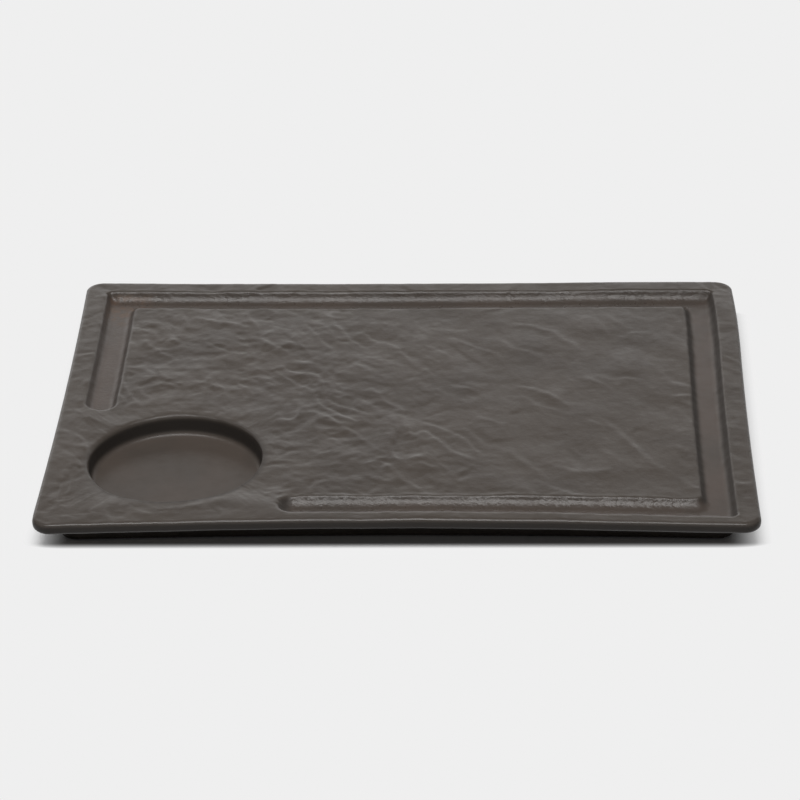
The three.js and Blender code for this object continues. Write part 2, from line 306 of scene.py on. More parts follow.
# The strongest share of the stain, how much the mottle and the marks change the glaze's roughness, the
# height of the rubber's grain in millimetres, and the grey that the paper shows to light that bounces
STAIN_SHARE = 0.5
MOTTLE_RANGE = (0.3, 0.7)
MOTTLE_SMOOTHER = -0.05
MOTTLE_ROUGHER = 0.06
BARE_ROUGHER = 0.35
THIN_ROUGHER = 0.2
PEEL_SMOOTHER = -0.1
WEAR_SMOOTHER = -0.16
RUBBER_GRAIN_HEIGHT = 0.03
PAPER_BOUNCE = (0.1, 0.1, 0.1)

# The stage in metres: softbox above the front, panel low behind, card low in front, the part of the
# floor that takes the shadow and the distance over which that fades
SOFTBOX_SIZE = (1.2, 0.8)
SOFTBOX_PLACE = (-0.12, -0.25, 1.6)
PANEL_SIZE = (1.6, 0.62)
PANEL_PLACE = (-0.25, 1.25, 0.45)
CARD_SIZE = (3.4, 0.5)
CARD_PLACE = (0.0, -1.25, 0.55)
SHADOW_REACH = (0.1495, 0.1043)
SHADOW_FADE = (0.021, 0.005)

# The sheet of paper in millimetres: half its width, its front edge, where it bends up, the radius of the
# bend and the height it stands to
PAPER_SIDE = 6000.0
PAPER_FRONT = -8000.0
PAPER_REAR = 2000.0
PAPER_BEND = 600.0
PAPER_TOP = 1500.0


def size(name, description, millimetres):
    """A property for a length, given in millimetres and kept in metres."""
    return FloatProperty(name=name, description=description, default=millimetres * MM, unit="LENGTH")


def number(name, description, default):
    """A property for a plain number."""
    return FloatProperty(name=name, description=description, default=default)


def angle(name, description, degrees):
    """A property for an angle, given in degrees and kept in radians."""
    return FloatProperty(name=name, description=description, default=math.radians(degrees), subtype="ANGLE")


def colour(name, description, default):
    """A property for a linear colour."""
    return FloatVectorProperty(
        name=name, description=description, default=default, size=3, subtype="COLOR", min=0.0, max=1.0
    )


class PlatterSizes(PropertyGroup):
    """Sizes of the casting."""

    length: size("Length", "Length before the corners are rounded", 330.0)
    depth: size("Depth", "Depth before the corners are rounded", 229.0)
    height: size("Height", "Height of the middle of the top", BODY_HIGH.z / MM)
    long_bow: size("Long side bow", "How far the middle of a long side is drawn in", 4.2)
    short_bow: size("Short side bow", "How far the middle of a short side is drawn in", 1.6)
    arch: size("Arch", "How far the ends of the top lie below its middle", 1.0)
    corner: size("Corner radius", "Radius of the platter's corners", 8.0)
    edge: size("Rim edge", "Thickness of the rim at its edge", 5.4)
    edge_top: size("Upper edge radius", "Rounding of the rim's upper edge", 1.7)
    edge_bottom: size("Lower edge radius", "Rounding of the rim's lower edge", 2.0)
    long_rim: size("Long rim", "Border between groove and edge on the long sides", 8.0)
    short_rim: size("Short rim", "Border between groove and edge on the short sides", 10.2)
    groove: size("Groove width", "From lip to lip", 16.6)
    groove_depth: size("Groove depth", "From the top of the rim to the groove's floor", 4.4)
    groove_right: size("Groove right", "How far right of the middle the groove lies", 0.35)
    groove_back: size("Groove back", "How far behind the middle the groove lies", -1.3)
    field_drop: size("Field drop", "How far the field lies below the rim", 1.2)
    groove_lip: size("Groove lip", "Rounding of the groove's lips", 1.0)
    groove_hollow: size("Groove hollow", "Rounding between wall and floor along the short runs", 3.8)
    groove_outer: size("Groove outer corner", "Corner radius of the groove's outer lip", 3.6)
    groove_inner: size("Groove inner corner", "Corner radius of the groove's inner lip", 2.0)
    left_gap: size("Left run gap", "From the well's rear to the end of the left run", 6.1)
    front_gap: size("Front run gap", "From the well's right to the end of the front run", 9.4)
    well: size("Well radius", "Radius of the well at its lip", 39.8)
    well_depth: size("Well depth", "From the lip to the well's floor", 9.8)
    well_lean: size("Well lean", "How far the wall leans in on its way down", 0.8)
    well_lip: size("Well lip", "Rounding of the well's lip", 1.5)
    well_fillet: size("Well fillet", "Rounding between the well's wall and floor", 2.6)
    well_side: size("Well side margin", "From the platter's left end to the well", 21.1)
    well_front: size("Well front margin", "From the platter's front to the well", 18.0)
    well_floor: size("Well floor", "Thickness of the porcelain under the well", 4.2)
    plate: size("Plate", "Thickness of the plate under the field", 4.8)
    groove_floor: size("Groove floor", "Thickness of the plate under the groove", 4.4)
    land: size("Foot clearance", "Height of the foot ring above the table", BODY_LOW.z / MM)
    foot_inset: size("Foot inset", "From the edge to the foot ring", 11.0)
    foot_width: size("Foot width", "Width of the foot ring", 6.0)
    foot_lean: size("Foot lean", "How far the foot ring's sides lean", 1.2)
    foot_corner: size("Foot corner", "Corner radius of the foot ring", 8.0)
    rear_warp: size("Rear warp", "How far firing drew the rear right corner in", 3.1)
    front_warp: size("Front warp", "How far firing drew the front left corner in", 0.9)
    front_bulge: size("Front bulge", "How far firing bulged the front edge", 1.1)
    slope: size("Underside slope", "Run of the slope from the groove's underside to the field's", 4.0)
    disc: size("Rubber foot", "Diameter of a rubber foot", (FOOT_HIGH.x - FOOT_LOW.x) / MM)
    disc_thickness: size("Rubber thickness", "Thickness of a rubber foot", FOOT_HIGH.z / MM)
    disc_edge: size("Rubber edge", "Rounding of a rubber foot's lower edge", 0.5)


class ReliefSizes(PropertyGroup):
    """Heights of the slate relief."""

    swell: size("Swell", "Height of the broad swells", 0.3)
    flakes: size("Flakes", "Height of the flakes of split stone", 0.38)
    scales: size("Scales", "Height of the small flakes where the stone is rough", 0.28)
    lumps: size("Lumps", "Height of the scattered lumps and hollows", 0.18)
    ripple: size("Ripple", "Height of the ripples where the stone is rough", 0.11)
    ridge: size("Ridges", "Height of the boldest split edges", 0.42)
    knob: size("Knobs", "Height of the knobs", 0.42)
    grain: size("Grain", "Height of the fine grain", 0.16)
    peel: size("Peel", "Height of the orange-peel skin in the groove", 0.33)
    seed: IntProperty(name="Seed", description="Start of the random numbers", default=7, min=0)


class PlatterFinish(PropertyGroup):
    """Colours and gloss."""

    glaze: colour("Glaze", "Main colour of the matte glaze", (0.066, 0.0545, 0.0455))
    glaze_dark: colour("Dark glaze", "Colour of the darker clouds in the glaze", (0.060, 0.050, 0.0425))
    # Painted shade: this darker colour stands in for the shade on upright faces, the well's crisp lip and
    # the groove's left end
    glaze_thin: colour("Thin glaze", "Colour of the glaze on upright faces", (0.046, 0.039, 0.034))
    glaze_warm: colour("Warm glaze", "Colour of the glaze where it pools", (0.084, 0.0625, 0.053))
    blush: colour("Blush", "Iron stain in the groove's rear left corner", (0.135, 0.080, 0.050))
    worn: colour("Worn edge", "Colour of edges polished by handling", (0.075, 0.066, 0.060))
    clay: colour("Bare clay", "Colour of the unglazed foot", (0.085, 0.078, 0.072))
    rubber: colour("Rubber", "Colour of the feet", (0.020, 0.020, 0.021))
    roughness: number("Roughness", "Mean roughness of the glaze", 0.38)
    gloss: number("Gloss", "Specular level of the glaze", 0.25)


class StageSettings(PropertyGroup):
    """Camera, floor and lamps."""

    lens: number("Lens", "Focal length on a 36 mm sensor", 148.1)
    azimuth: angle("Azimuth", "Camera's turn to the right", 2.886)
    elevation: angle("Elevation", "Camera's height angle", 30.81)
    roll: angle("Roll", "Camera's roll", -1.66)
    distance: size("Distance", "From the camera to the middle of the top", 1575.1)
    aim_right: size("Aim right", "How far right of the middle the camera aims", -1.325)
    aim_up: size("Aim up", "How far above the middle the camera aims", -3.01)
    floor: colour("Floor", "Colour of the floor", (0.863, 0.863, 0.863))
    world: number("World", "Strength of the surrounding light", 0.06)
    top_lamp: number("Top lamp", "Brightness of the softbox overhead", 8.9)
    rear_lamp: number("Rear lamp", "Brightness of the panel behind", 0.86)
    front_card: number("Front card", "Brightness of the card in front, which only reflects", 0.75)


class Layout:
    """The platter's measures in millimetres, read from the property groups."""

    def __init__(self, scene):
        for group in (scene.platter_sizes, scene.platter_relief):
            for name in type(group).__annotations__:
                value = getattr(group, name)
                setattr(self, name, value / MM if isinstance(value, float) else value)
        self.half_length = self.length / 2
        self.half_depth = self.depth / 2
        self.well_x = self.well_side + self.well - self.half_length
        self.well_y = self.well_front + self.well - self.half_depth
        self.well_top = self.height - self.sag(self.well_x) - self.field_drop
        self.outer_x = self.half_length - self.short_rim
        self.outer_y = self.half_depth - self.long_rim
        self.left_end = self.well_y + self.well + self.left_gap + self.groove / 2
        self.front_end = self.well_x + self.well + self.front_gap + self.groove / 2
        self.under_groove = self.height - self.groove_depth - self.groove_floor

    def drawn_in(self, x, y):
        """By which factors the sides are drawn in: each is a parabola of the other coordinate."""
        factor_x = 1.0 - self.short_bow / self.half_length * (1.0 - (y / self.half_depth) ** 2)
        factor_y = 1.0 - self.long_bow / self.half_depth * (1.0 - (x / self.half_length) ** 2)
        return factor_x, factor_y

    def place(self, x, y):
        """From the straight layout to a place on the platter."""
        factor_x, factor_y = self.drawn_in(x, y)
        return x * factor_x, y * factor_y

    def straight(self, x, y):
        """Back from a place to the straight layout, closely enough to look things up there."""
        factor_x, factor_y = self.drawn_in(x, y)
        return x / factor_x, y / factor_y

    def warp(self, x, y):
        """How far firing moved a place: the rear right corner is drawn in along both sides and the
        front left one along the long side, by the square of the nearness to the corner, and the
        front edge bulges between its corners."""
        rear = ramp(y, *REAR_WARP_Y) ** 2 * smooth_step(x, *REAR_WARP_X)
        front = ramp(-y, *FRONT_WARP_Y) ** 2 * smooth_step(-x, *FRONT_WARP_X)
        sunk = smooth_step(y, *SINK_Y) * smooth_step(x, *SINK_X)
        bulge = smooth_step(-y, *BULGE_Y) * (1.0 - (x / self.half_length) ** 4)
        moved_x = self.front_warp * front - self.rear_warp * rear
        moved_y = -self.front_bulge * bulge - self.rear_warp / 2 * sunk
        return np.array([moved_x, moved_y])

    def feet(self):
        """Where the rubber feet sit: the centres of the foot ring's corners."""
        x = self.half_length - self.foot_inset - self.foot_corner
        y = self.half_depth - self.foot_inset - self.foot_corner
        return {name: self.place(x * side, y * end) for name, (side, end) in CORNERS.items()}

    def sag(self, x):
        """How far the arched top lies below its middle."""
        return self.arch * (x / self.half_length) ** 2

    def inset(self, x, y):
        """How far a point of the straight layout lies inside the platter's outline."""
        return -box_distance(x, y, self.half_length, self.half_depth, self.corner)

    def from_well(self, x, y):
        """How far a point lies outside the well's lip."""
        return np.hypot(x - self.well_x, y - self.well_y) - self.well

    def dip(self, x, y):
        """How far the field lies below the rim, at a point of the straight layout: it sinks smoothly
        from the rim inwards, mostly across the groove, and later in front of the well."""
        inside = -box_distance(x, y, self.half_length, self.half_depth, DIP_CORNER)
        before = smooth_step(self.well_y - y, *BEFORE_WELL) * fade(self.from_well(x, y), *NEAR_WELL)
        return self.field_drop * smooth_step(inside - DIP_LATER * before, *DIP_RUN)


def ramp(value, low, high):
    """0 below low, 1 above high, and even between."""
    return np.clip((value - low) / (high - low), 0.0, 1.0)


def smooth_step(value, low, high):
    """0 below low, 1 above high, and 3t^2 - 2t^3 between."""
    t = ramp(value, low, high)
    return t * t * (3.0 - 2.0 * t)


def fade(value, low, high):
    """1 below low, 0 above high, and smooth between."""
    return 1.0 - smooth_step(value, low, high)


def blend(first, second, share):
    """From the first value at a share of 0 to the second at 1."""
    return first + (second - first) * share


def rubbing(distance, share, place, width):
    """A bell curve over the distance from an edge."""
    return share * np.exp(-((distance - place) / width) ** 2)


def noise(x, y, wave, seed, layers=1):
    """Gradient noise: every corner of a lattice, one wave wide, has a random slope, the four slopes round
    a point are blended by 6t^5 - 15t^4 + 10t^3, and each further layer has half the wave and half the
    height."""
    cells = 256
    total = np.zeros_like(x)
    for layer in range(layers):
        turns = np.random.default_rng(seed + layer).uniform(0.0, 2.0 * np.pi, (cells, cells))
        px = x / wave[0] * 2.0 ** layer
        py = y / wave[1] * 2.0 ** layer
        column = np.floor(px).astype(int)
        row = np.floor(py).astype(int)
        fx = px - column
        fy = py - row
        blend_x = fx ** 3 * (fx * (fx * 6.0 - 15.0) + 10.0)
        blend_y = fy ** 3 * (fy * (fy * 6.0 - 15.0) + 10.0)
        for right, weight_x in ((0, 1.0 - blend_x), (1, blend_x)):
            for up, weight_y in ((0, 1.0 - blend_y), (1, blend_y)):
                turn = turns[(column + right) % cells, (row + up) % cells]
                slope = np.cos(turn) * (fx - right) + np.sin(turn) * (fy - up)
                total += 1.6 * slope * weight_x * weight_y / 2.0 ** layer
    return total


def box_distance(x, y, half_x, half_y, radius):
    """Signed distance to a rounded rectangle, negative inside."""
    out_x = np.abs(x) - half_x + radius
    out_y = np.abs(y) - half_y + radius
    outside = np.hypot(np.maximum(out_x, 0.0), np.maximum(out_y, 0.0))
    return outside + np.minimum(np.maximum(out_x, out_y), 0.0) - radius


def long_run(plan, x, y):
    """1 along the groove's long runs and 0 along its short ones, which meet in a soft mitre."""
    past_end = np.abs(x - plan.groove_right) - plan.outer_x
    past_side = np.abs(y - plan.groove_back) - plan.outer_y
    return smooth_step(past_side - past_end, -MITRE, MITRE)


def groove_sheen(plan, x, y):
    """How sleek the glaze in the groove is: most along the long runs, of which the front one ends at the
    field's corner, and along the short runs more on the left than on the right."""
    inner_x = plan.outer_x - plan.groove
    beside_field = np.where(y < 0.0, smooth_step(inner_x - x, *FIELD_CORNER), 1.0)
    lengthwise = long_run(plan, x, y) * beside_field
    long_sheen = np.where(y < 0.0, FRONT_SHEEN, REAR_SHEEN)
    short_sheen = SHORT_SHEEN * (1.0 - x / plan.half_length)
    return blend(short_sheen, long_sheen, lengthwise)


def groove_section(plan, x, y):
    """How far a point of the straight layout lies inside the groove's lip, the angle of the wall there,
    and the rounding of the lip and of the hollow. The lip is the nearer of the outer and inner one, and
    near the sauce well the round end of either run; the wall is steeper on the field's side and along
    the short runs, the long runs are rounder below, the field's front lip is rounder, and the rim's lip
    is crisper except at the back."""
    half = plan.groove / 2
    lengthwise = long_run(plan, x, y)
    x = x - plan.groove_right
    y = y - plan.groove_back
    to_outer = -box_distance(x, y, plan.outer_x, plan.outer_y, plan.groove_outer)
    inner_x = plan.outer_x - plan.groove
    inner_y = plan.outer_y - plan.groove
    to_inner = box_distance(x, y, inner_x, inner_y, plan.groove_inner)
    left = half - np.hypot(x + plan.outer_x - half, np.minimum(y - plan.left_end, 0.0))
    front = half - np.hypot(np.minimum(x - plan.front_end, 0.0), y + plan.outer_y - half)
    at_ends = (x < plan.front_end) & (y < plan.left_end)
    reach = np.where(at_ends, np.maximum(left, front), np.minimum(to_outer, to_inner))
    reach = reach + LIP_WANDER * noise(x, y, LIP_WAVE, plan.seed + 15)
    at_field = to_inner < to_outer
    at_front = (y < 0.0) * lengthwise
    along_side = np.where(at_field, FIELD_WALL_STEEPER, RIM_WALL_STEEPER)
    steeper = blend(SHORT_RUN_STEEPER, along_side, lengthwise)
    field_share = 1.0 + 0.5 * at_front
    rim_share = 0.5 + 0.5 * lengthwise - 0.5 * at_front
    lip = plan.groove_lip * np.where(at_field, field_share, rim_share)
    hollow = plan.groove_hollow * (1.0 + lengthwise)
    return reach, WALL_ANGLE + steeper, lip, hollow


def rounded_drop(reach, depth, lip, hollow, slope):
    """Depth at a distance inside a lip: an arc rolls over the lip to the slope angle, a straight wall
    follows, and an arc hollows out to the level floor."""
    sine = np.sin(slope)
    cosine = np.cos(slope)
    wall = depth - (lip + hollow) * (1.0 - cosine)
    first = lip * sine
    second = first + wall * cosine / sine
    last = second + hollow * sine
    d = np.clip(reach, 0.0, last)
    rolled = lip - np.sqrt(lip ** 2 - np.minimum(d, first) ** 2)
    straight = lip * (1.0 - cosine) + (d - first) * sine / cosine
    level = depth - hollow + np.sqrt(hollow ** 2 - np.minimum(last - d, hollow) ** 2)
    return np.where(d < first, rolled, np.where(d < second, straight, level))


def sawtooth(climb, drop):
    """Rises evenly over each whole step and falls back over the last part of it, centred on 0."""
    part = climb - np.floor(climb)
    return part - smooth_step(part, 1.0 - drop, 1.0) - (1.0 - drop) / 2


def split_edge(x, y, share, points):
    """One split edge: along a bent line the stone climbs by a gentle face from the lower left and drops
    by a short steep back to the upper right, and the line fades out towards its ends."""
    points = np.asarray(points, float)
    steps = np.diff(points, axis=0)
    spans = np.hypot(steps[:, 0], steps[:, 1])
    starts = np.cumsum(spans) - spans
    nearest = np.full(x.shape, np.inf)
    side = np.zeros_like(x)
    travelled = np.zeros_like(x)
    for (ax, ay), (dx, dy), span, start in zip(points, steps, spans, starts):
        t = np.clip(((x - ax) * dx + (y - ay) * dy) / span ** 2, 0.0, 1.0)
        off_x = x - ax - t * dx
        off_y = y - ay - t * dy
        distance = np.hypot(off_x, off_y)
        closer = distance < nearest
        side = np.where(closer, np.copysign(distance, dx * off_y - dy * off_x), side)
        travelled = np.where(closer, start + t * span, travelled)
        nearest = np.minimum(nearest, distance)
    strength = np.abs(np.sin(np.pi * travelled / spans.sum())) ** 0.6
    rise = ramp(side, -SPLIT_FACE, 0.0) ** 1.5
    return share * strength * np.minimum(rise, fade(side, 0.0, SPLIT_BACK))


def slate_relief(plan, x, y):
    """Height of the split-stone texture: broad swells along the grain, flakes that climb across it and
    break off, and scales, lumps and ripples, most of them on the left where the stone is rougher, with
    the bold split edges and the knobs on top."""
    seed = plan.seed
    bent_x = x + BEND * noise(x, y, BEND_WAVE, seed + 10, 2)
    bent_y = y + BEND * noise(x, y, BEND_WAVE, seed + 20, 2)
    along = bent_x * math.cos(GRAIN) + bent_y * math.sin(GRAIN)
    across = bent_y * math.cos(GRAIN) - bent_x * math.sin(GRAIN)
    leftward = ROUGH_WANDER * noise(x, y, ROUGH_WAVE, seed + 30) - x - ROUGH_LEAN * y
    rough = blend(CALM_ROUGHNESS, 1.0, smooth_step(leftward, *ROUGH_RUN))
    rough = np.maximum(rough, RIM_ROUGHNESS * smooth_step(x - plan.outer_x, *RIM_RUN))
    swell = noise(along, across, BROAD_SWELL, seed + 40, 2)
    swell = swell + 0.5 * noise(along, across, LONG_SWELL, seed + 45)
    swell = swell + noise(bent_x, bent_y, ROUND_SWELL, seed + 47)
    climb = across / FLAKE_STEP + FLAKE_BEND * noise(along, across, FLAKE_WAVE, seed + 50, 2)
    patchy = smooth_step(noise(x, y, PATCH_WAVE, seed + 60), *FLAKE_RUN)
    flakes = plan.flakes * (0.6 + 0.6 * rough) * sawtooth(climb, 0.22 - 0.1 * rough) * patchy
    steps = across / SCALE_STEP + noise(along, across, SCALE_WAVE, seed + 55, 2)
    broken = smooth_step(noise(x, y, BREAK_WAVE, seed + 65), *SCALE_RUN)
    scales = plan.scales * rough * sawtooth(-steps, SCALE_DROP) * broken
    bumps = noise(bent_x, bent_y, LUMP_WAVE, seed + 70, 2)
    lumps = plan.lumps * rough * (smooth_step(bumps, *LUMP_RUN) - smooth_step(-bumps, *HOLLOW_RUN))
    ripple = plan.ripple * rough * noise(x, y, RIPPLE_WAVE, seed + 80, 3)
    wobble_x = x + WOBBLE * noise(x, y, WOBBLE_WAVE, seed + 90)
    wobble_y = y + WOBBLE * noise(x, y, WOBBLE_WAVE, seed + 95)
    edges = np.zeros_like(x)
    for share, *points in SPLIT_EDGES:
        edges = np.maximum(edges, split_edge(wobble_x, wobble_y, share, points))
    knobs = np.zeros_like(x)
    for centre_x, centre_y, radius, share in KNOBS:
        far = np.hypot(wobble_x - centre_x, wobble_y - centre_y) / radius
        knobs = knobs + share * np.maximum(1.0 - far ** 2, 0.0) ** 1.5
    stone = plan.swell * swell + flakes + scales + lumps + ripple
    return stone + plan.ridge * edges + plan.knob * knobs


def relief_share(plan, x, y, inset, reach):
    """How much of the relief shows: all of it on the field, most on the rim, half at the well's lip,
    little at the outer edge and none in the groove."""
    off_well = blend(WELL_RELIEF, 1.0, smooth_step(plan.from_well(x, y), *WELL_RETURN))
    off_edge = blend(EDGE_RELIEF, 1.0, smooth_step(inset, *EDGE_RETURN))
    off_rim = blend(RIM_RELIEF, 1.0, smooth_step(inset, plan.long_rim, plan.long_rim + plan.groove))
    return fade(reach, *RELIEF_ENDS) * off_well * off_edge * off_rim


def graded_lines(low, high, spacing):
    """Grid lines from low to high: the wanted number of lines per millimetre is summed along the way
    and read off at equal counts, so that the lines lie about as far apart as spacing asks."""
    fine = np.linspace(low, high, 6001)
    middle = (fine[1:] + fine[:-1]) / 2
    count = np.concatenate([[0.0], np.cumsum(np.diff(fine) / spacing(middle))])
    return np.interp(np.linspace(0.0, count[-1], round(count[-1]) + 1), count, fine)


def turn_corners(u, v, half_u, half_v, radius):
    """Bend a rectangular grid to a rounded rectangle: in each corner square, the square ring at a
    distance m from the corner's centre becomes a quarter circle of radius m."""
    core_u = np.clip(u, radius - half_u, half_u - radius)
    core_v = np.clip(v, radius - half_v, half_v - radius)
    p = u - core_u
    q = v - core_v
    m = np.maximum(np.abs(p), np.abs(q))
    turn = np.pi / 4 * np.minimum(np.abs(p), np.abs(q)) / np.maximum(m, 1e-9)
    long_part = m * np.cos(turn)
    short_part = m * np.sin(turn)
    wide = np.abs(p) >= np.abs(q)
    x = core_u + np.sign(p) * np.where(wide, long_part, short_part)
    y = core_v + np.sign(q) * np.where(wide, short_part, long_part)
    return x, y


def border_of(grid):
    """The border of a grid of numbers as one loop, counter-clockwise seen from above."""
    return np.concatenate([grid[:-1, 0], grid[-1, :-1], grid[:0:-1, -1], grid[0, :0:-1]])


def rounded_path(points, radii, steps):
    """A path of straight lines whose inner corners are replaced by arcs of the given radii."""
    points = [Vector(point) for point in points]
    path = [points[0]]
    for before, corner, after, radius in zip(points, points[1:], points[2:], radii):
        to_before = (before - corner).normalized()
        to_after = (after - corner).normalized()
        half = to_before.angle(to_after) / 2
        bisector = (to_before + to_after).normalized()
        centre = corner + bisector * (radius / math.sin(half))
        start = corner + to_before * (radius / math.tan(half)) - centre
        end = corner + to_after * (radius / math.tan(half)) - centre
        turn = start.angle_signed(end)
        for step in range(steps + 1):
            path.append(centre + Matrix.Rotation(-turn * step / steps, 2) @ start)
    path.append(points[-1])
    return np.array([tuple(point) for point in path])


class Shell:
    """A mesh that grows from blocks of points with their finish values, and blocks of faces."""

    def __init__(self, finishes=()):
        self.finishes = finishes
        self.blocks = []
        self.faces = []
        self.count = 0

    def add(self, x, y, z, **finish):
        """Add points in millimetres and return their numbers in the same arrangement."""
        values = np.broadcast_arrays(x, y, z, *(finish.get(name, 0.0) for name in self.finishes))
        self.blocks.append(np.stack([np.ravel(value) for value in values], axis=1))
        numbers = np.arange(self.count, self.count + np.size(values[0])).reshape(np.shape(values[0]))
        self.count += numbers.size
        return numbers

    def fill(self, grid, keep=True, facing=1):
        """Cover a grid of numbers with quads that face up or down, where keep is true."""
        corners = [grid[:-1, :-1], grid[1:, :-1], grid[1:, 1:], grid[:-1, 1:]][::facing]
        quads = np.stack(corners, axis=-1)
        self.faces.append(quads[np.broadcast_to(keep, quads.shape[:2])])

    def strip(self, first, second):
        """Join two loops of equal length; the first lies inside or above the second."""
        ahead = np.roll(first, -1), np.roll(second, -1)
        self.faces.append(np.stack([first, second, ahead[1], ahead[0]], axis=1))

    def lace(self, first, along_first, second, along_second):
        """Join two loops of unequal length by triangles: the edges of both, sorted by the places of
        their middles along the loops, each take the corner that the other loop has reached."""
        middle_first = (along_first + np.append(along_first[1:], 1.0)) / 2
        middle_second = (along_second + np.append(along_second[1:], 1.0)) / 2
        reached_second = second[np.searchsorted(middle_second, middle_first) % len(second)]
        reached_first = first[np.searchsorted(middle_first, middle_second, "right") % len(first)]
        self.faces.append(np.stack([first, reached_second, np.roll(first, -1)], axis=1))
        self.faces.append(np.stack([reached_first, second, np.roll(second, -1)], axis=1))

    def close(self, loop, x, y, z, facing, **finish):
        """Close a loop that lies round a point by a fan that faces up (1) or down (-1)."""
        tip = np.full(len(loop), self.add(x, y, z, **finish))
        self.faces.append(np.stack([tip, loop, np.roll(loop, -1)][::facing], axis=1))

    def turn(self, path, centre_x, centre_y, steps, **finish):
        """A closed solid of revolution: a path of radius and height, from the axis above, out and down
        to the axis below, is carried round a vertical axis."""
        turned = np.arange(steps) * 2.0 * np.pi / steps
        radius, height = path[1:-1].T[:, :, None]
        x = centre_x + radius * np.cos(turned)
        y = centre_y + radius * np.sin(turned)
        loops = self.add(x, y, height, **finish)
        for upper, lower in zip(loops, loops[1:]):
            self.strip(upper, lower)
        self.close(loops[0], centre_x, centre_y, path[0][1], 1, **finish)
        self.close(loops[-1], centre_x, centre_y, path[-1][1], -1, **finish)

    def mesh(self, name):
        """The finished mesh in metres, smooth shaded, with its finish values as point attributes."""
        points = np.concatenate(self.blocks)
        sizes = np.concatenate([np.full(len(block), block.shape[1]) for block in self.faces])
        corners = np.concatenate([block.ravel() for block in self.faces])
        mesh = bpy.data.meshes.new(name)
        mesh.vertices.add(len(points))
        mesh.vertices.foreach_set("co", np.ravel(points[:, :3] * MM))
        mesh.loops.add(len(corners))
        mesh.loops.foreach_set("vertex_index", corners)
        mesh.polygons.add(len(sizes))
        mesh.polygons.foreach_set("loop_start", np.cumsum(sizes) - sizes)
        mesh.polygons.foreach_set("loop_total", sizes)
        mesh.polygons.foreach_set("use_smooth", np.ones(len(sizes), bool))
        for column, attribute in enumerate(self.finishes, start=3):
            layer = mesh.attributes.new(attribute, "FLOAT", "POINT")
            layer.data.foreach_set("value", np.ascontiguousarray(points[:, column]))
        mesh.update(calc_edges=True)
        return mesh


class Outline:
    """The border of a grid with rounded corners, which can be drawn at any inset from the edge."""

    def __init__(self, plan, u, v, radius):
        self.plan = plan
        edge_u, edge_v = (border_of(grid) for grid in np.meshgrid(u, v, indexing="ij"))
        core_u = np.clip(edge_u, u[0] + radius, u[-1] - radius)
        core_v = np.clip(edge_v, v[0] + radius, v[-1] - radius)
        x, y = turn_corners(edge_u, edge_v, u[-1], v[-1], radius)
        self.core_u = core_u / (u[-1] - radius)
        self.core_v = core_v / (v[-1] - radius)
        self.normal_x = (x - core_u) / radius
        self.normal_y = (y - core_v) / radius

    def at(self, inset):
        """The outline drawn in by an inset, in the straight layout."""
        radius = max(self.plan.corner - inset, self.plan.foot_corner)
        x = self.core_u * (self.plan.half_length - inset - radius) + radius * self.normal_x
        y = self.core_v * (self.plan.half_depth - inset - radius) + radius * self.normal_y
        return x, y

    def along(self, inset):
        """How far along the outline each point lies, from 0 to 1."""
        x, y = self.at(inset)
        span = np.hypot(np.roll(x, -1) - x, np.roll(y, -1) - y)
        return (np.cumsum(span) - span) / span.sum()


